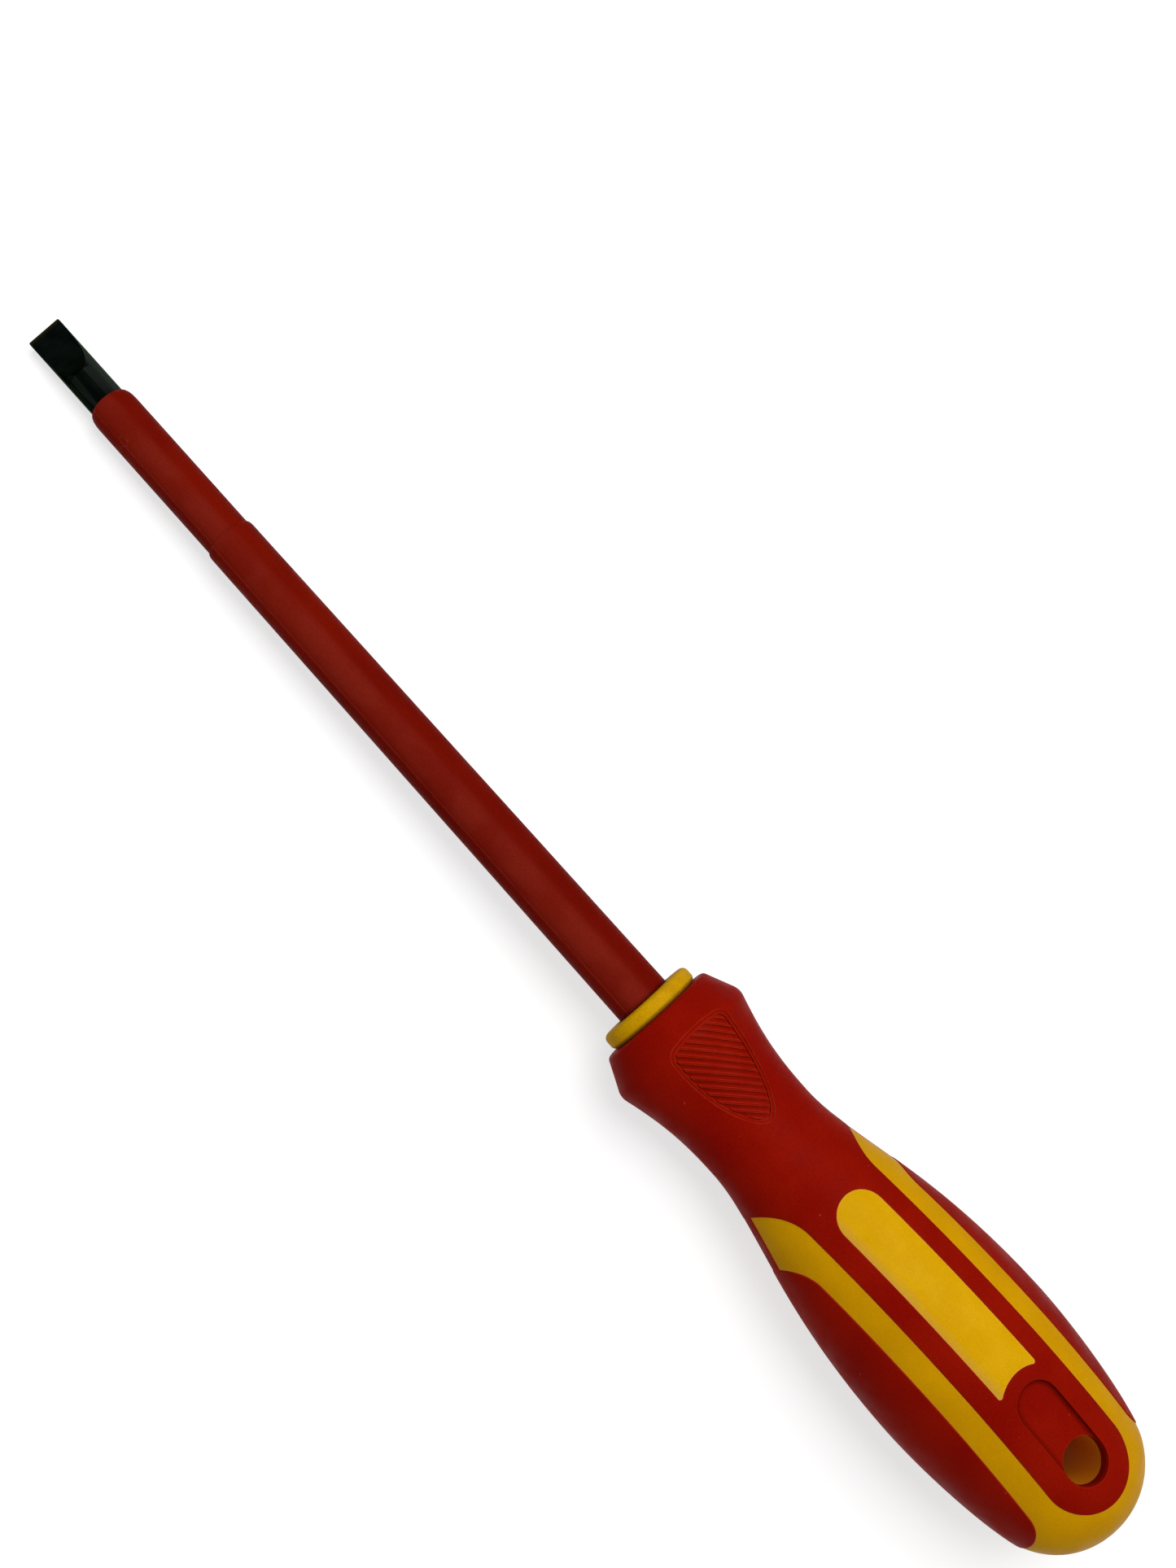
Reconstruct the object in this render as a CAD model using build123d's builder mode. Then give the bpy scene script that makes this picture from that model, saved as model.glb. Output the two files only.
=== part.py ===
from build123d import *
import math
import os

# Insulated slotted screwdriver, in millimetres.
# The tool's axis is X, from the blade tip at the origin to the end of the handle.
# Z points out of the handle's upper marking window, and the handle is the same below.

# Blade
blade_length = 150.0  # tip to the front of the handle's collar
blade_diameter = 6.5
tip_thickness = 1.2
tip_land = 1.0  # flat stretch behind the tip, before the hollow grind
grind_length = 10.9  # tip to the end of the hollow grind
tip_corner_radius = 0.3
blade_clocking = 15.1  # degrees, tip's flats against the handle's windows
tang_length = 66.0  # blade inside the handle, from the collar's front
tang_chamfer = 0.8
wing_start = 38.0  # collar's front to the pressed wings
wing_length = 15.0
wing_span = 9.6
wing_thickness = 2.6

# Insulating sleeves, each a layer over the one before
bare_blade = 16.9  # tip to the front of the inner sleeve
inner_sleeve_wall = 0.85
inner_nose_length = 2.2
inner_nose_drop = 0.7
inner_sleeve_entry = 22.0  # length inside the handle
outer_sleeve_start = 47.8
outer_front_wall = 0.38
outer_rear_wall = 0.77
outer_nose_length = 1.0
outer_nose_drop = 0.28
outer_sleeve_entry = 16.0

# Hard core, with the collar that shows in front of the guard
collar_diameter = 17.3
collar_thickness = 2.9
collar_edge_radius = 1.0
collar_relief = 0.25  # gap round the sleeve at the collar's mouth
collar_relief_depth = 0.9
stem_across_flats = 13.0
stem_corner_radius = 1.5
stem_cover = 6.0  # core beyond the end of the tang

# Outer shape of the handle
handle_length = 108.0  # collar's front to the end of the dome
guard_face_diameter = 20.4
guard_face_radius = 0.9
guard_depth = 6.0  # guard's front face to its crest
crest_diameter = 25.8
crest_radius = 3.0
crest_slope = 0.3
neck_setback = 18.9  # guard's crest to the neck
neck_diameter = 20.1
belly_setback = 47.0  # neck to the widest point of the belly
belly_diameter = 32.9
dome_length = 8.1  # rounded end behind the belly's taper
dome_root_diameter = 26.5
dome_root_slope = 0.35
dome_fullness = 0.74
dome_lead = 1.0  # length over which the dome still follows the taper's slope
waist_pull = 0.38  # how far the outline's curves follow their end slopes,
rise_pull = 0.22  # each a share of the run between the curve's ends
crown_pull = 0.55
taper_pull = 0.3
end_pull = 0.2

# Soft grip over the hard body
grip_wall = 2.2
body_drop = 0.15  # how far the hard body's bare faces lie under the grip's
strap_half_width = 7.5
strap_start = 42.5  # collar's front to where the strap's edges run straight
strap_end_setback = 7.0  # end of the dome to the end of the strap
neck_edge_run = 7.3
neck_edge_rise = 4.3
panel_edge = 11.05  # handle's axis to the side panels' edges
panel_start = 43.9  # collar's front to the side panels' front ends
panel_end_setback = 7.7
panel_turn_run = 5.6
panel_turn_rise = 2.4
bridge_half_height = 1.75  # soft layer's bridges along the sides, from the neck to the panels
moulded_edge_radius = 0.15  # soft edges of the outer faces

# Marking window, hanging hole and the recess in front of the hole
window_start = 41.7  # collar's front to the window's front end
window_half_width = 4.1
window_corner_radius = 0.4
window_web = 2.3  # grip between window and recess
hole_setback = 14.8  # end of the dome to the hole
hole_radius = 3.55
recess_length = 18.0
recess_margin = 0.1  # recess wider than the hole, each side
recess_depth = 0.9
recess_floor_radius = 0.5

# Ribbed thumb pads on the guard, above and below
pad_lead = 1.35  # pad starts this far in front of the guard's crest
pad_length = 18.75
pad_half_width = 5.95
pad_front_bow = 0.8
pad_corner_radius = 2.0
pad_side_fullness = 1.06
pad_end_fullness = 0.45
pad_depth = 0.3
pad_margin = 0.6  # plain border round the ribs' field
field_depth = 0.45
rib_pitch = 1.06
rib_width = 0.38
rib_angle = 44.0
rib_end_gap = 0.25  # ribs stop this far from the field's edge

# Places that follow from the sizes above
collar_front = blade_length
guard_front = collar_front + collar_thickness
crest_x = guard_front + guard_depth
neck_x = crest_x + neck_setback
belly_x = neck_x + belly_setback
handle_end = collar_front + handle_length
dome_root_x = handle_end - dome_length
hole_x = handle_end - hole_setback
recess_half_width = hole_radius + recess_margin
recess_rear = hole_x + recess_half_width
recess_front = recess_rear - recess_length
recess_front_centre = recess_front + recess_half_width
pad_front = crest_x - pad_lead
tang_end = collar_front + tang_length
blade_radius = blade_diameter / 2
inner_sleeve_radius = blade_radius + inner_sleeve_wall
outer_front_radius = inner_sleeve_radius + outer_front_wall
outer_rear_radius = inner_sleeve_radius + outer_rear_wall
clear_of_handle = belly_diameter  # cutting solids reach this far out
rim_depth = 0.01  # edges less deep than this count as lying in the outer shape


def nose(start, end):
    """Quarter ellipse that leaves start square to the axis and reaches end along it."""
    return EllipticalCenterArc(
        center=(end[0], start[1]),
        x_radius=end[0] - start[0],
        y_radius=end[1] - start[1],
        start_angle=90,
        arc_size=90,
    )


def handle_form(inset):
    """The handle's outer shape as a solid of revolution, drawn in by inset."""
    taper_setback = dome_root_x - belly_x
    crest = (crest_x, crest_diameter / 2 - inset)
    neck = (neck_x, neck_diameter / 2 - inset)
    belly = (belly_x, belly_diameter / 2 - inset)
    dome_root = (dome_root_x, dome_root_diameter / 2 - inset)
    apex = (handle_end - inset, 0)
    waist = waist_pull * neck_setback
    taper = end_pull * taper_setback
    with BuildPart() as form:
        with BuildSketch(Plane.XZ):
            with BuildLine():
                Polyline(
                    apex,
                    (guard_front, 0),
                    (guard_front, guard_face_diameter / 2 - inset),
                    crest,
                )
                Bezier(
                    crest,
                    (crest[0] + waist, crest[1] - waist * crest_slope),
                    (neck[0] - waist, neck[1]),
                    neck,
                )
                Bezier(
                    neck,
                    (neck[0] + rise_pull * belly_setback, neck[1]),
                    (belly[0] - crown_pull * belly_setback, belly[1]),
                    belly,
                )
                Bezier(
                    belly,
                    (belly[0] + taper_pull * taper_setback, belly[1]),
                    (dome_root[0] - taper, dome_root[1] + taper * dome_root_slope),
                    dome_root,
                )
                Bezier(
                    dome_root,
                    (dome_root[0] + dome_lead, dome_root[1] - dome_lead * dome_root_slope),
                    (apex[0], dome_root[1] * dome_fullness),
                    apex,
                )
            make_face()
        revolve(axis=Axis.X)
        fillet(form.edges().filter_by(GeomType.CIRCLE).sort_by(Axis.X)[0], guard_face_radius)
        fillet(form.edges().filter_by(GeomType.CIRCLE).sort_by(Axis.X)[-1], crest_radius)
    return form.part


def hollow_form():
    """Inside of the grip: straight through the guard, then one wall under the handle."""
    nose_radius = neck_diameter / 2 - grip_wall
    with BuildPart() as hollow:
        add(handle_form(grip_wall))
        with BuildSketch(Plane.YZ.offset(guard_front)):
            Circle(clear_of_handle)
            Circle(nose_radius, mode=Mode.SUBTRACT)
        extrude(amount=neck_x - guard_front, mode=Mode.SUBTRACT)
    return hollow.part


def strap_plan():
    """Outline from above of the grip over the neck and of the strap behind it."""
    strap_end = handle_end - strap_end_setback
    strap_round = strap_end - strap_half_width
    strap_root = collar_front + strap_start
    neck_edge = strap_root - neck_edge_run
    neck_half_width = strap_half_width + neck_edge_rise
    with BuildSketch(Plane.XY) as plan:
        with BuildLine():
            Line((strap_root, strap_half_width), (strap_round, strap_half_width))
            RadiusArc(
                (strap_round, strap_half_width),
                (strap_round, -strap_half_width),
                strap_half_width,
            )
            Line((strap_round, -strap_half_width), (strap_root, -strap_half_width))
            TangentArc(
                (strap_root, -strap_half_width),
                (neck_edge, -neck_half_width),
                tangent=(-1, 0),
            )
            Polyline(
                (neck_edge, -neck_half_width),
                (neck_edge, -clear_of_handle),
                (guard_front, -clear_of_handle),
                (guard_front, clear_of_handle),
                (neck_edge, clear_of_handle),
                (neck_edge, neck_half_width),
            )
            TangentArc(
                (strap_root, strap_half_width),
                (neck_edge, neck_half_width),
                tangent=(-1, 0),
            )
        make_face()
    return plan.sketch


def panel_plan():
    """Outline from above of one side panel, turned out at both ends."""
    front = collar_front + panel_start
    rear = handle_end - panel_end_setback
    edge_front = (front + panel_turn_run, panel_edge)
    edge_rear = (rear - panel_turn_run, panel_edge)
    front_tip = (front, panel_edge + panel_turn_rise)
    rear_tip = (rear, panel_edge + panel_turn_rise)
    with BuildSketch(Plane.XY) as plan:
        with BuildLine():
            Line(edge_front, edge_rear)
            TangentArc(edge_rear, rear_tip, tangent=(1, 0))
            Polyline(
                rear_tip,
                (rear, clear_of_handle),
                (front, clear_of_handle),
                front_tip,
            )
            TangentArc(edge_front, front_tip, tangent=(-1, 0))
        make_face()
    return plan.sketch


def window_plan():
    """Marking window: round in front, hollowed behind to follow the recess."""
    round_centre = collar_front + window_start + window_half_width
    with BuildSketch(Plane.XY) as window:
        with Locations((round_centre, 0)):
            Circle(window_half_width)
        with Locations(((round_centre + recess_front_centre) / 2, 0)):
            Rectangle(recess_front_centre - round_centre, 2 * window_half_width)
        with Locations((recess_front_centre, 0)):
            Circle(recess_half_width + window_web, mode=Mode.SUBTRACT)
        fillet(window.vertices().group_by(Axis.X)[-1], radius=window_corner_radius)
    return window.sketch


def pad_plan(margin):
    """Outline of a thumb pad, drawn in by margin."""
    front = pad_front + margin
    end = pad_front + pad_length - margin
    side = front + pad_front_bow
    half_width = pad_half_width - margin
    swell = (end - front) / 2
    with BuildSketch(Plane.XY) as pad:
        with BuildLine():
            ThreePointArc((side, -half_width), (front, 0), (side, half_width))
            for sign in (1, -1):
                Bezier(
                    (side, sign * half_width),
                    (side + swell, sign * half_width * pad_side_fullness),
                    (end, sign * half_width * pad_end_fullness),
                    (end, 0),
                )
        make_face()
        fillet(pad.vertices().group_by(Axis.X)[0], radius=pad_corner_radius - margin)
    return pad.sketch


def field_plan():
    """The pad's sunk field, with slanting ribs left standing clear of its edge."""
    reach = math.hypot(pad_length, 2 * pad_half_width)
    count = 2 * int(reach / 2 / rib_pitch) + 1
    with BuildSketch(Plane.XY) as ribs:
        with Locations(Location((pad_front + pad_length / 2, 0), rib_angle)):
            with GridLocations(reach, rib_pitch, 1, count):
                Rectangle(reach, rib_width)
        add(pad_plan(pad_margin + rib_end_gap), mode=Mode.INTERSECT)
    with BuildSketch(Plane.XY) as field:
        add(pad_plan(pad_margin))
        add(ribs.sketch, mode=Mode.SUBTRACT)
    return field.sketch


def sunk(plan, depth, floor_radius=0):
    """What a plan drawn from above takes off the handle's upper side to a depth."""
    with BuildPart() as cutter:
        add(plan)
        extrude(amount=clear_of_handle)
        add(handle_form(depth), mode=Mode.SUBTRACT)
        if floor_radius:
            fillet(cutter.faces().sort_by(Axis.Z)[0].edges(), radius=floor_radius)
    return cutter.part


def grip_zone():
    """All the space that belongs to the grip, without the cuts in its surface."""
    bridge_end = collar_front + panel_start + panel_turn_run
    with BuildPart() as zone:
        with BuildSketch(Plane.XY):
            add(strap_plan())
            panel = add(panel_plan())
            mirror(panel, about=Plane.XZ)
            add(window_plan(), mode=Mode.SUBTRACT)
        extrude(amount=clear_of_handle, both=True)
        with BuildSketch(Plane.XZ):
            with Locations(((guard_front + bridge_end) / 2, 0)):
                Rectangle(bridge_end - guard_front, 2 * bridge_half_height)
        extrude(amount=clear_of_handle, both=True)
        add(hollow_form(), mode=Mode.SUBTRACT)
    return zone.part


def core_form():
    """Collar and six-sided stem, before the blade and its sleeves are let in."""
    stem_start = collar_front + collar_thickness / 2
    with BuildPart() as form:
        with BuildSketch(Plane.YZ.offset(collar_front)):
            Circle(collar_diameter / 2)
        extrude(amount=collar_thickness)
        fillet(form.edges().filter_by(GeomType.CIRCLE), radius=collar_edge_radius)
        with BuildSketch(Plane.YZ.offset(stem_start)) as stem:
            RegularPolygon(stem_across_flats / 2, 6, major_radius=False)
            fillet(stem.vertices(), radius=stem_corner_radius)
        extrude(amount=tang_end + stem_cover - stem_start)
    return form.part


def rim(faces):
    """Edges behind the neck where upright faces meet the handle's outer shape."""
    upright = faces.filter_by(GeomType.PLANE) + faces.filter_by(GeomType.CYLINDER)
    within = handle_form(rim_depth).solid()
    edges = upright.edges().filter_by_position(Axis.X, neck_x, handle_end)
    return edges.filter_by(lambda edge: not within.is_inside(edge @ 0.5))


def write(piece, name):
    """Label a finished piece and write it under its own name."""
    piece.part.label = name
    export_step(piece.part, f"parts/{name}.step")


os.makedirs("parts", exist_ok=True)

# Blade: round bar with a hollow-ground tip in front and pressed wings at its root.
tip_plane = Plane.XZ.rotated((blade_clocking, 0, 0))
flat_plane = Plane.XY.rotated((blade_clocking, 0, 0))
with BuildPart() as blade:
    with BuildSketch(Plane.YZ):
        Circle(blade_radius)
    extrude(amount=tang_end)
    chamfer(blade.edges().sort_by(Axis.X)[-1], length=tang_chamfer)
    with BuildSketch(flat_plane) as width:
        with Locations((tang_end / 2, 0)):
            Rectangle(tang_end, blade_diameter)
        fillet(width.vertices().group_by(Axis.X)[0], radius=tip_corner_radius)
    extrude(amount=blade_diameter, both=True, mode=Mode.INTERSECT)
    with BuildSketch(tip_plane):
        with BuildLine():
            land_end = (tip_land, tip_thickness / 2)
            grind_end = (grind_length, blade_radius)
            Polyline((0, blade_diameter), (0, tip_thickness / 2), land_end)
            TangentArc(land_end, grind_end, tangent=(1, 0))
            Polyline(grind_end, (grind_length, blade_diameter), (0, blade_diameter))
        ground = make_face()
        mirror(ground, about=Plane.XZ)
    extrude(amount=blade_diameter, both=True, mode=Mode.SUBTRACT)
    with BuildSketch(flat_plane):
        with Locations((collar_front + wing_start + wing_length / 2, 0)):
            RectangleRounded(wing_length, wing_span, wing_thickness / 2)
    extrude(amount=wing_thickness / 2, both=True)
write(blade, "blade")

# Inner sleeve: the slim layer that reaches furthest towards the tip.
with BuildPart() as inner_sleeve:
    with BuildSketch(Plane.XZ):
        with BuildLine():
            lip = (bare_blade, inner_sleeve_radius - inner_nose_drop)
            shoulder = (bare_blade + inner_nose_length, inner_sleeve_radius)
            sleeve_end = collar_front + inner_sleeve_entry
            nose(lip, shoulder)
            Polyline(
                shoulder,
                (sleeve_end, inner_sleeve_radius),
                (sleeve_end, blade_radius),
                (bare_blade, blade_radius),
                lip,
            )
        make_face()
    revolve(axis=Axis.X)
write(inner_sleeve, "blade_sleeve_inner")

# Outer sleeve: the second layer, thickening a little towards the handle.
with BuildPart() as outer_sleeve:
    with BuildSketch(Plane.XZ):
        with BuildLine():
            lip = (outer_sleeve_start, outer_front_radius - outer_nose_drop)
            shoulder = (outer_sleeve_start + outer_nose_length, outer_front_radius)
            sleeve_end = collar_front + outer_sleeve_entry
            nose(lip, shoulder)
            Polyline(
                shoulder,
                (collar_front, outer_rear_radius),
                (sleeve_end, outer_rear_radius),
                (sleeve_end, inner_sleeve_radius),
                (outer_sleeve_start, inner_sleeve_radius),
                lip,
            )
        make_face()
    revolve(axis=Axis.X)
write(outer_sleeve, "blade_sleeve_outer")

# Core: moulded round the tang and the sleeves, its collar in front of the guard.
with BuildPart() as core:
    add(core_form())
    add(blade.part, mode=Mode.SUBTRACT)
    add(inner_sleeve.part, mode=Mode.SUBTRACT)
    add(outer_sleeve.part, mode=Mode.SUBTRACT)
    with BuildSketch(Plane.YZ.offset(collar_front)):
        Circle(outer_rear_radius + collar_relief)
        Circle(outer_rear_radius, mode=Mode.SUBTRACT)
    extrude(amount=collar_relief_depth, mode=Mode.SUBTRACT)
write(core, "handle_core")

# Body: the hard handle round the core, bare at the stripes, windows and dome.
grip_space = grip_zone()
with BuildPart() as body:
    add(handle_form(body_drop))
    add(grip_space, mode=Mode.SUBTRACT)
    add(core_form(), mode=Mode.SUBTRACT)
    with BuildSketch(Plane.XY):
        with Locations((hole_x, 0)):
            Circle(hole_radius)
    extrude(amount=clear_of_handle, both=True, mode=Mode.SUBTRACT)
write(body, "handle_body")

# Grip: the soft layer over guard, neck and straps, with pads, recesses and hanging hole.
with BuildSketch(Plane.XY) as recess_plan:
    with Locations((recess_rear - recess_length / 2, 0)):
        SlotOverall(recess_length, 2 * recess_half_width)
surface_cuts = [
    sunk(recess_plan.sketch, recess_depth, recess_floor_radius),
    sunk(pad_plan(0), pad_depth),
    sunk(field_plan(), pad_depth + field_depth),
]
with BuildPart() as grip:
    add(handle_form(0))
    add(grip_space, mode=Mode.INTERSECT)
    for cut in surface_cuts:
        for turn in (0, 180):
            add(cut, rotation=(turn, 0, 0), mode=Mode.SUBTRACT)
    fillet(rim(grip.faces()), radius=moulded_edge_radius)
    with BuildSketch(Plane.XY):
        with Locations((hole_x, 0)):
            Circle(hole_radius)
    extrude(amount=clear_of_handle, both=True, mode=Mode.SUBTRACT)
write(grip, "handle_grip")
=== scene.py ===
"""Insulated slotted screwdriver: finishes, light and camera round the fixed CAD frame."""
import math

import bpy
from mathutils import Matrix, Vector

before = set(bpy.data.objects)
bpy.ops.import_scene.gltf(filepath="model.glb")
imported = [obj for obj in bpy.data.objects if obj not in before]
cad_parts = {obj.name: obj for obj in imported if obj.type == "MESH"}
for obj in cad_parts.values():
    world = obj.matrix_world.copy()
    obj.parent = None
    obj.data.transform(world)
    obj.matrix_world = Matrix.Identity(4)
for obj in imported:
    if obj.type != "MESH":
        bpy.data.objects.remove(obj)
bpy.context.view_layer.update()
scene = bpy.context.scene
MM = 0.001
MIDDLE = Vector((0.15, 0, 0))

# Places on the tool that the finishes follow, in its own frame
GRIND_END = 10.9 * MM  # blade tip to the end of the hollow grind
SCUFF_PLACE = (25.0 * MM, -3.3 * MM, 2.5 * MM)
PARTING_ANGLE = math.radians(55)  # sleeves' parting plane, from the vertical towards -Y
PARTING_NORMAL = (0, math.cos(PARTING_ANGLE), math.sin(PARTING_ANGLE))
PAD_END = 180.0 * MM  # just behind the ribbed pads
BESIDE_WINDOW = 6.0 * MM  # hidden under the strap, beside the window
BEHIND_WINDOW = 237.0 * MM  # hidden under the strap, behind the window
RECESS_FRONT = 232.5 * MM  # centre of the recess's front end
RECESS_HALF_WIDTH = 3.65 * MM
HOLE_X = 243.2 * MM
HOLE_RADIUS = 3.55 * MM


# ---------------------------------------------------------------- node helper
class Look:
    """A material's node tree, with one short call for each kind of node used here."""

    def __init__(self, name, **constants):
        self.material = bpy.data.materials.new(name)
        self.material.use_nodes = True
        self.tree = self.material.node_tree
        self.shader = self.tree.nodes["Principled BSDF"]
        self.set(**constants)

    def set(self, **sockets):
        """Feed the shader's sockets, named with _ for a space."""
        for name, value in sockets.items():
            self.feed(self.shader.inputs[name.replace("_", " ")], value)

    def feed(self, socket, value):
        """Link a socket to the value, or set it if the value is a constant."""
        if isinstance(value, bpy.types.NodeSocket):
            self.tree.links.new(value, socket)
        else:
            socket.default_value = value

    def node(self, kind, inputs=(), **settings):
        """Add a node, with its settings, and its inputs as (name or number, value)."""
        made = self.tree.nodes.new("ShaderNode" + kind)
        for name, value in settings.items():
            setattr(made, name, value)
        for name, value in inputs:
            self.feed(made.inputs[name], value)
        return made

    def place(self):
        """Where the surface point lies in the part's own frame, in metres."""
        return self.node("TexCoord").outputs["Object"]

    def scaled(self, size, stretch=(1, 1, 1), shift=0):
        """The place in units of size millimetres, longer along an axis by its stretch."""
        scale = tuple(1 / (size * MM * s) for s in stretch)
        inputs = (("Vector", self.place()), ("Scale", scale), ("Location", (shift,) * 3))
        return self.node("Mapping", inputs).outputs["Vector"]

    def noise(self, size, detail=2, rough=0.5, stretch=(1, 1, 1), shift=0):
        """Noise around 0.5 whose largest features are about size millimetres."""
        inputs = (
            ("Vector", self.scaled(size, stretch, shift)),
            ("Scale", 1.0),
            ("Detail", detail),
            ("Roughness", rough),
        )
        return self.node("TexNoise", inputs).outputs["Fac"]

    def remap(self, value, low, high, to_low=0.0, to_high=1.0):
        """The value taken from one range to another, smoothly, and held at its ends."""
        inputs = ((0, value), (1, low), (2, high), (3, to_low), (4, to_high))
        return self.node("MapRange", inputs, interpolation_type="SMOOTHSTEP").outputs[0]

    def math(self, operation, *values):
        """A Math node's result."""
        inputs = tuple(enumerate(values))
        return self.node("Math", inputs, operation=operation).outputs[0]

    def mix(self, factor, first, second, blend="MIX"):
        """Two colours mixed."""
        made = self.node("Mix", data_type="RGBA", blend_type=blend)
        self.feed(made.inputs["Factor"], factor)
        self.feed(made.inputs[6], first)
        self.feed(made.inputs[7], second)
        return made.outputs[2]

    def dimmed(self, colour, shade):
        """A colour multiplied by a grey value."""
        grey = self.node("CombineColor", ((0, shade), (1, shade), (2, shade))).outputs[0]
        return self.mix(1.0, colour, grey, "MULTIPLY")

    def distance(self, normal):
        """How far the place lies from the plane through the origin with that normal."""
        inputs = ((0, self.place()), (1, normal))
        dot = self.node("VectorMath", inputs, operation="DOT_PRODUCT").outputs["Value"]
        return self.math("ABSOLUTE", dot)

    def along(self):
        """The place along the tool's axis."""
        return self.node("SeparateXYZ", ((0, self.place()),)).outputs["X"]

    def facing(self, direction):
        """How squarely the surface faces a direction of the part's own frame."""
        inputs = ((0, self.node("TexCoord").outputs["Normal"]), (1, direction))
        return self.node("VectorMath", inputs, operation="DOT_PRODUCT").outputs["Value"]

    def above_axis(self, direction):
        """1 where the place lies straight out from the tool's axis in a direction, -1 behind."""
        inputs = ((0, self.place()), (1, (0, 1, 1)))
        offset = self.node("VectorMath", inputs, operation="MULTIPLY").outputs[0]
        outward = self.node("VectorMath", ((0, offset),), operation="NORMALIZE").outputs[0]
        inputs = ((0, outward), (1, direction))
        return self.node("VectorMath", inputs, operation="DOT_PRODUCT").outputs["Value"]

    def away(self, point, axes=(1, 1, 1)):
        """How far the place lies from a point, counting only the axes set to 1."""
        inputs = ((0, self.place()), (1, point))
        offset = self.node("VectorMath", inputs, operation="SUBTRACT").outputs[0]
        kept = self.node("VectorMath", ((0, offset), (1, axes)), operation="MULTIPLY").outputs[0]
        return self.node("VectorMath", ((0, kept),), operation="LENGTH").outputs["Value"]

    def slot_distance(self, front, rear):
        """How far the place lies, seen from above, from the axis between two x values."""
        beyond = self.math("SUBTRACT", self.along(), rear)
        before = self.math("SUBTRACT", front, self.along())
        gap = self.math("MAXIMUM", self.math("MAXIMUM", beyond, before), 0.0)
        across = self.node("SeparateXYZ", ((0, self.place()),)).outputs["Y"]
        gap_squared = self.math("POWER", gap, 2.0)
        across_squared = self.math("MULTIPLY", across, across)
        return self.math("SQRT", self.math("ADD", gap_squared, across_squared))

    def edges(self, radius):
        """0 on smooth surfaces, rising towards edges within a radius in millimetres."""
        rounded = self.node("Bevel", (("Radius", radius * MM),), samples=6).outputs[0]
        plain = self.node("NewGeometry").outputs["Normal"]
        inputs = ((0, rounded), (1, plain))
        dot = self.node("VectorMath", inputs, operation="DOT_PRODUCT").outputs["Value"]
        return self.remap(dot, 0.998, 0.90)

    def crevices(self, reach):
        """1 in the open, falling in grooves and corners within reach in millimetres."""
        inputs = (("Distance", reach * MM),)
        return self.node("AmbientOcclusion", inputs, samples=8).outputs["AO"]

    def hairs(self, size, width, share, stretch):
        """Thin curved lines where smooth noise passes 0.5, on a share of the surface."""
        level = self.math("SUBTRACT", self.noise(size, 1, 0.4, stretch), 0.5)
        line = self.remap(self.math("ABSOLUTE", level), 0.0, width, 1.0, 0.0)
        patches = self.noise(size, 1, 0.5, stretch, 7)
        return self.math("MULTIPLY", line, self.remap(patches, 0.66 - share, 0.72 - share))

    def bump(self, height, depth, normal=None):
        """A bump of depth millimetres between height 0 and 1."""
        made = self.node("Bump", (("Height", height), ("Distance", depth * MM), ("Strength", 1.0)))
        if normal:
            self.feed(made.inputs["Normal"], normal)
        return made.outputs[0]


# ---------------------------------------------------------------- finishes
def soft_red():
    """The grip's elastomer: fine grain, dust, painted highlights on its edges, painted shade round
    the recess, and painted light in its grooves and corners.
    """
    look = Look("grip_red_elastomer", Specular_IOR_Level=0.015)
    mottle = look.remap(look.noise(12, 3), 0.35, 0.68)
    grain = look.noise(0.26, 2, 0.6)
    colour = look.mix(mottle, (0.268, 0.0038, 0.0004, 1), (0.314, 0.0066, 0.0007, 1))
    colour = look.dimmed(colour, look.remap(grain, 0.25, 0.75, 0.86, 1.12))
    # Painted highlight: paler, pinker lines along the grip's edges.
    painted_edge_highlight = look.math("MULTIPLY", look.edges(0.25), look.remap(look.noise(1.6), 0.3, 0.7, 0.2, 0.6))
    colour = look.mix(painted_edge_highlight, colour, (0.44, 0.050, 0.016, 1))
    dust = look.remap(look.noise(0.7, 1, shift=3), 0.79, 0.82, 0.0, 0.5)
    colour = look.mix(dust, colour, (0.46, 0.09, 0.04, 1))
    specks = look.remap(look.noise(0.7, 1, shift=11), 0.79, 0.82, 0.0, 0.7)
    colour = look.mix(specks, colour, (0.060, 0.001, 0.001, 1))
    # Painted shade: a dark band down the sides of the recess, fainter towards the rear of the hole.
    recess = look.slot_distance(RECESS_FRONT, HOLE_X)
    edge = RECESS_HALF_WIDTH
    painted_recess_shade = look.remap(recess, edge - 0.95 * MM, edge - 0.30 * MM)
    painted_recess_shade = look.math("MULTIPLY", painted_recess_shade, look.remap(recess, edge, edge + 0.12 * MM, 1.0, 0.0))
    strength = look.remap(look.along(), HOLE_X - 3 * MM, HOLE_X + 2 * MM, 0.7, 0.2)
    colour = look.mix(look.math("MULTIPLY", painted_recess_shade, strength), colour, (0.130, 0.0015, 0.0003, 1))
    # Painted light: grooves and corners are lifted against their shade, to a brighter red in the
    # pads and to orange behind them.
    behind_pad = look.remap(look.along(), PAD_END, PAD_END + 2 * MM)
    crevice_light_colour = look.mix(behind_pad, (0.480, 0.0090, 0.0014, 1), (0.560, 0.105, 0.030, 1))
    painted_crevice_light = look.remap(look.crevices(0.45), 0.35, 0.85, 0.85, 0.0)
    look.set(Base_Color=look.mix(painted_crevice_light, colour, crevice_light_colour))
    look.set(Roughness=look.remap(look.noise(3, 4), 0.3, 0.7, 0.42, 0.56))
    swell = look.bump(look.noise(5, 2, shift=9), 0.05)
    look.set(Normal=look.bump(grain, 0.018, swell))
    return look.material


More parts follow.
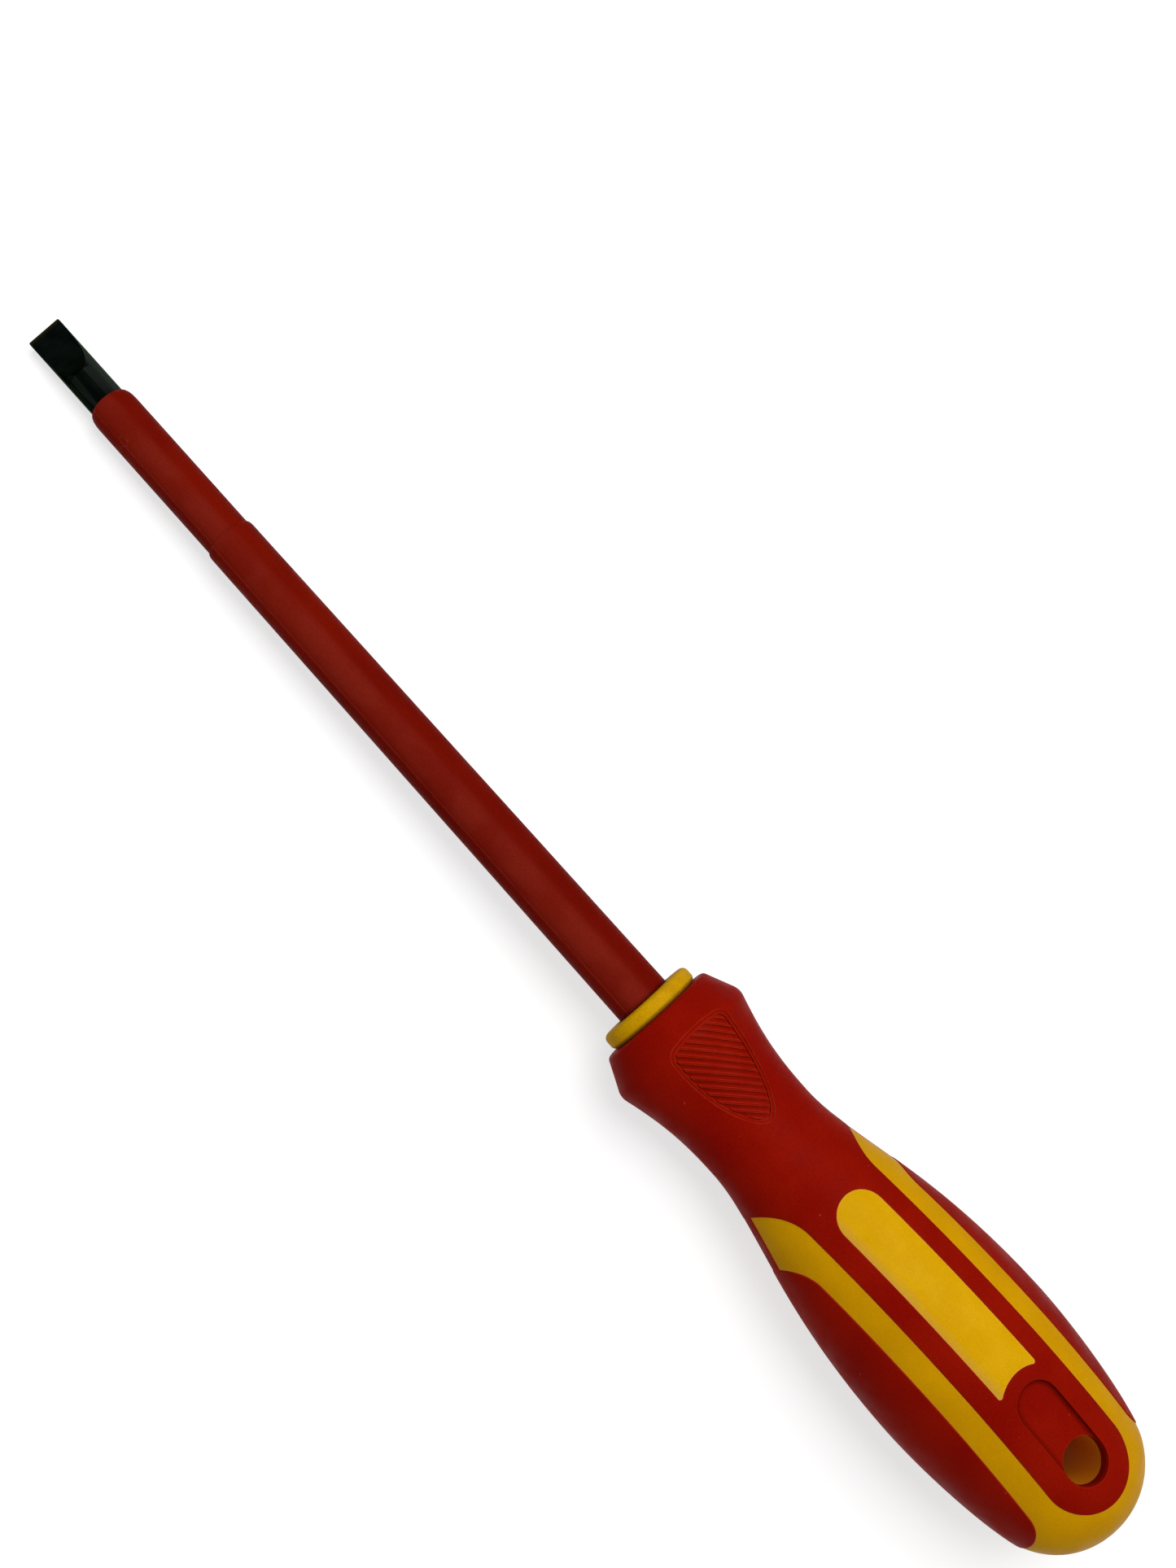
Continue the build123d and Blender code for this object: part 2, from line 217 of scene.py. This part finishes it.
def sleeve_red():
    """The sleeves' harder polymer: duller red, a painted highlight along the top and on the edges,
    painted shade in crevices, parting lines and scuffs.
    """
    look = Look("sleeve_red_polymer", Specular_IOR_Level=0.012)
    mottle = look.remap(look.noise(7, 3, stretch=(3, 1, 1)), 0.35, 0.68)
    grain = look.noise(0.26, 2, 0.65)
    colour = look.mix(mottle, (0.168, 0.0042, 0.0007, 1), (0.205, 0.0062, 0.0011, 1))
    # Painted highlight: a paler, duller band along the top of the sleeves.
    painted_top_highlight = look.remap(look.above_axis((0, -0.42, 0.91)), 0.78, 1.0)
    painted_top_highlight = look.math("MULTIPLY", painted_top_highlight, look.remap(look.noise(9, 2, shift=2), 0.35, 0.6, 0.5, 1.0))
    colour = look.mix(painted_top_highlight, colour, (0.228, 0.0145, 0.0068, 1))
    colour = look.dimmed(colour, look.remap(grain, 0.25, 0.75, 0.87, 1.12))
    seam = look.remap(look.distance(PARTING_NORMAL), 0.03 * MM, 0.10 * MM, 1.0, 0.0)
    seam_shade = look.math("MULTIPLY", seam, look.remap(look.noise(4), 0.3, 0.6, 0.25, 0.6))
    colour = look.mix(seam_shade, colour, (0.36, 0.040, 0.020, 1))
    scuffed = look.remap(look.away(SCUFF_PLACE), 0.6 * MM, 1.8 * MM, 1.0, 0.0)
    hairs = look.math("MULTIPLY", look.hairs(0.7, 0.035, 0.26, (2, 1, 1)), scuffed)
    colour = look.mix(look.math("MULTIPLY", hairs, 0.6), colour, (0.42, 0.075, 0.045, 1))
    # Painted highlight: paler edges.
    painted_edge_highlight = look.math("MULTIPLY", look.edges(0.2), 0.45)
    colour = look.mix(painted_edge_highlight, colour, (0.36, 0.040, 0.02, 1))
    # Darker in crevices: painted shade, with some dirt.
    crevice_shade_and_grime = look.remap(look.crevices(1.2), 0.40, 0.90, 0.35, 1.0)
    look.set(Base_Color=look.dimmed(colour, crevice_shade_and_grime))
    look.set(Roughness=look.remap(look.noise(2.5, 4), 0.3, 0.7, 0.42, 0.56))
    raised = look.bump(look.math("ADD", seam, hairs), 0.03)
    look.set(Normal=look.bump(grain, 0.025, raised))
    return look.material


def collar_yellow():
    """The core's fibre-filled polymer: fine grain, brown in its crevices from dirt and painted
    shade.
    """
    look = Look("collar_yellow_polymer", Specular_IOR_Level=0.03)
    grain = look.noise(0.26, 3, 0.65)
    flecks = look.remap(grain, 0.30, 0.66)
    colour = look.mix(flecks, (0.61, 0.310, 0.0004, 1), (0.76, 0.415, 0.0008, 1))
    worn = look.remap(look.noise(3.5, 3), 0.42, 0.68, 0.0, 0.45)
    colour = look.mix(worn, colour, (0.50, 0.235, 0.003, 1))
    # Brown in crevices: dirt, with painted shade.
    crevice_shade_and_grime = look.remap(look.crevices(1.2), 0.40, 0.85, 0.6, 0.0)
    colour = look.mix(crevice_shade_and_grime, colour, (0.13, 0.055, 0.004, 1))
    look.set(Base_Color=colour)
    look.set(Roughness=look.remap(grain, 0.3, 0.7, 0.46, 0.62))
    look.set(Normal=look.bump(grain, 0.030))
    return look.material


def body_yellow():
    """The hard body: clear yellow, brighter in the windows with a painted pale sheen on one side,
    and painted light in its crevices and hole.
    """
    look = Look("body_yellow_polymer", Specular_IOR_Level=0.015)
    mottle = look.remap(look.noise(11, 3), 0.35, 0.68)
    grain = look.noise(0.28, 2, 0.6)
    colour = look.mix(mottle, (0.660, 0.315, 0.0002, 1), (0.730, 0.360, 0.0004, 1))
    axes = look.node("SeparateXYZ", ((0, look.place()),)).outputs
    across = look.math("ABSOLUTE", axes["Y"])
    window = look.remap(across, BESIDE_WINDOW - 0.5 * MM, BESIDE_WINDOW + 0.5 * MM, 1.0, 0.0)
    ahead = look.remap(axes["X"], BEHIND_WINDOW - MM, BEHIND_WINDOW + MM, 1.0, 0.0)
    window = look.math("MULTIPLY", window, ahead)
    cloudy = look.remap(look.noise(5, 2, shift=4), 0.40, 0.66)
    bright = look.mix(cloudy, (0.765, 0.400, 0.0004, 1), (0.800, 0.430, 0.0030, 1))
    # Painted sheen: a pale, less saturated streak on the -Y side of the windows.
    painted_window_sheen = look.remap(axes["Y"], -2.2 * MM, -4.4 * MM, 0.0, 0.8)
    painted_window_sheen = look.math("MULTIPLY", painted_window_sheen, look.remap(look.noise(6, 2, shift=8), 0.3, 0.6, 0.5, 1.0))
    bright = look.mix(painted_window_sheen, bright, (0.640, 0.345, 0.0480, 1))
    colour = look.mix(window, colour, bright)
    colour = look.dimmed(colour, look.remap(grain, 0.25, 0.75, 0.94, 1.05))
    # Painted light: the yellow is lifted to a pale orange in crevices, against their shade.
    edge = look.remap(look.crevices(0.35), 0.55, 0.97, 0.75, 0.0)
    colour = look.mix(edge, colour, (0.90, 0.400, 0.110, 1))
    # Painted light: the inside of the hole is a brighter orange, against its shade.
    from_hole = look.away((HOLE_X, 0, 0), (1, 1, 0))
    painted_bore_light = look.remap(from_hole, HOLE_RADIUS + 0.05 * MM, HOLE_RADIUS + 0.20 * MM, 1.0, 0.0)
    painted_bore_light = look.math("MULTIPLY", painted_bore_light, 0.8)
    colour = look.mix(painted_bore_light, colour, (0.82, 0.300, 0.012, 1))
    look.set(Base_Color=colour)
    look.set(Roughness=look.remap(look.noise(3, 4), 0.3, 0.7, 0.32, 0.48))
    swell = look.bump(look.noise(4, 2, shift=6), 0.04)
    look.set(Normal=look.bump(grain, 0.012, swell))
    return look.material


def blackened_steel():
    """The blade: blackened, drawn along its shank, ground at its tip, with a painted grey
    reflection along one side.
    """
    look = Look("blade_blackened_steel", Metallic=1.0, Specular_Tint=(0.42, 0.45, 0.40, 1))
    ground_part = look.remap(look.along(), GRIND_END - 0.4 * MM, GRIND_END, 1.0, 0.0)
    drawn = look.noise(0.5, 3, 0.6, stretch=(14, 1, 1))
    ground = look.noise(0.16, 3, 0.6, stretch=(1, 12, 12), shift=5)
    lines = look.node("Mix", (("Factor", ground_part), (2, drawn), (3, ground))).outputs[0]
    patina = look.remap(look.noise(3, 4, 0.6), 0.35, 0.68)
    colour = look.mix(patina, (0.0014, 0.0024, 0.0021, 1), (0.0028, 0.0042, 0.0036, 1))
    colour = look.dimmed(colour, look.remap(lines, 0.3, 0.7, 0.75, 1.2))
    streaks = look.remap(look.noise(1.3, 2, 0.5, stretch=(25, 1, 1), shift=2), 0.46, 0.62, 0.0, 0.6)
    streaks = look.math("MULTIPLY", streaks, look.math("SUBTRACT", 1.0, ground_part))
    colour = look.mix(streaks, colour, (0.0120, 0.0150, 0.0130, 1))
    # Painted reflection: the side facing +Y is greyer, speckled.
    painted_side_reflection = look.remap(look.facing((0, 0.94, 0.34)), 0.55, 1.0)
    speckle = look.remap(look.noise(0.22, 3, 0.7), 0.30, 0.65, 0.55, 1.0)
    painted_side_reflection = look.math("MULTIPLY", painted_side_reflection, speckle)
    colour = look.mix(painted_side_reflection, colour, (0.036, 0.042, 0.038, 1))
    tip = look.remap(look.along(), 0.0, 0.8 * MM, 0.8, 0.0)
    colour = look.mix(tip, colour, (0.0180, 0.0135, 0.0030, 1))
    worn = look.math("MULTIPLY", look.edges(0.12), look.remap(look.noise(0.9, 3), 0.42, 0.62))
    colour = look.mix(look.math("MULTIPLY", worn, 0.5), colour, (0.045, 0.030, 0.014, 1))
    look.set(Base_Color=colour)
    look.set(Roughness=look.remap(lines, 0.3, 0.7, 0.30, 0.46))
    look.set(Normal=look.bump(lines, 0.006))
    return look.material


sleeve = sleeve_red()
finishes = {
    "blade": blackened_steel(),
    "blade_sleeve_inner": sleeve,
    "blade_sleeve_outer": sleeve,
    "handle_core": collar_yellow(),
    "handle_body": body_yellow(),
    "handle_grip": soft_red(),
}
for name, finish in finishes.items():
    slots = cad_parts[name].data.materials
    slots.clear()
    slots.append(finish)


# ---------------------------------------------------------------- floor
FLOOR_GAP = 0.05 * MM
FLOOR_REACH = 3.0
FLOOR_LIFT = 0.66  # added to the floor only where it is seen, so that it is white
FAR_FLOOR_LIFT = 0.88  # the same beyond the lamps' reach


def seen_factor(tree):
    """1 on rays from the camera, mirrored rays and rays through glass, else 0."""
    rays = tree.nodes.new("ShaderNodeLightPath")
    total = rays.outputs["Is Camera Ray"]
    for name in ("Is Glossy Ray", "Is Transmission Ray"):
        most = tree.nodes.new("ShaderNodeMath")
        most.operation = "MAXIMUM"
        tree.links.new(total, most.inputs[0])
        tree.links.new(rays.outputs[name], most.inputs[1])
        total = most.outputs[0]
    return total


def pale_floor():
    """Matt off-white, lifted to white where it is seen, with the shadow kept."""
    look = Look("floor_white", Roughness=0.9, Specular_IOR_Level=0.1)
    cloud = look.remap(look.noise(60, 3), 0.3, 0.7)
    look.set(Base_Color=look.mix(cloud, (0.49, 0.49, 0.49, 1), (0.52, 0.52, 0.52, 1)))
    look.set(Emission_Color=(1, 1, 1, 1))
    lift = look.remap(look.away(tuple(MIDDLE)), 0.4, 1.4, FLOOR_LIFT, FAR_FLOOR_LIFT)
    look.set(Emission_Strength=look.math("MULTIPLY", seen_factor(look.tree), lift))
    return look.material


def resting_floor(points):
    """The floor's pitch, upward direction and height, with the tool on its nose and belly."""
    low, high = 0.0, math.radians(10)
    while high - low > 1e-5:
        pitch = (low + high) / 2
        up = Vector((math.sin(pitch), 0, math.cos(pitch)))
        front = min(point.dot(up) for point in points if point.x < MIDDLE.x)
        rear = min(point.dot(up) for point in points if point.x > MIDDLE.x)
        low, high = (pitch, high) if rear < front else (low, pitch)
    return pitch, up, min(front, rear)


points = [v.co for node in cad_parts.values() for v in node.data.vertices]
pitch, up, height = resting_floor(points)
floor_mesh = bpy.data.meshes.new("floor")
r = FLOOR_REACH
floor_mesh.from_pydata([(-r, -r, 0), (r, -r, 0), (r, r, 0), (-r, r, 0)], [], [(0, 1, 2, 3)])
floor = bpy.data.objects.new("floor", floor_mesh)
floor.rotation_euler = (0, pitch, 0)
floor.location = up * (height - FLOOR_GAP)
scene.collection.objects.link(floor)
floor_mesh.materials.append(pale_floor())


# ---------------------------------------------------------------- light
AMBIENT = 0.26

world = bpy.data.worlds.new("studio")
scene.world = world
world.use_nodes = True
background = world.node_tree.nodes["Background"]
strength = world.node_tree.nodes.new("ShaderNodeMapRange")
strength.inputs["To Min"].default_value = AMBIENT
strength.inputs["To Max"].default_value = 1.0
world.node_tree.links.new(seen_factor(world.node_tree), strength.inputs["Value"])
world.node_tree.links.new(strength.outputs[0], background.inputs["Strength"])
background.inputs["Color"].default_value = (1, 1, 1, 1)


def softbox(name, place, size, watts):
    """A square area light that faces the middle of the tool."""
    lamp = bpy.data.lights.new(name, "AREA")
    lamp.energy = watts
    lamp.size = size
    holder = bpy.data.objects.new(name, lamp)
    holder.location = place
    holder.rotation_euler = (MIDDLE - Vector(place)).to_track_quat("-Z", "Y").to_euler()
    scene.collection.objects.link(holder)


softbox("key", (0.12, 0.20, 0.78), 0.50, 4.4)
softbox("fill", (0.30, -0.60, 0.45), 0.60, 0.2)


# ---------------------------------------------------------------- camera
CAMERA_PLACE = (0.140776, -0.065837, 0.262031)
CAMERA_RIGHT = (0.668278, 0.723862, 0.171538)
CAMERA_UP = (-0.739148, 0.620070, 0.262984)
CAMERA_BACK = (0.083996, -0.302543, 0.949423)
FOCAL_PIXELS = 2050
IMAGE_HEIGHT = 1927
SENSOR = 36.0

camera_data = bpy.data.cameras.new("camera")
camera_data.sensor_fit = "VERTICAL"
camera_data.sensor_height = SENSOR
camera_data.lens = FOCAL_PIXELS / IMAGE_HEIGHT * SENSOR
camera_data.clip_start = 0.01
camera = bpy.data.objects.new("camera", camera_data)
scene.collection.objects.link(camera)
turn = Matrix((CAMERA_RIGHT, CAMERA_UP, CAMERA_BACK)).transposed()
camera.matrix_world = Matrix.Translation(CAMERA_PLACE) @ turn.to_4x4()
scene.camera = camera

scene.view_settings.view_transform = "Standard"
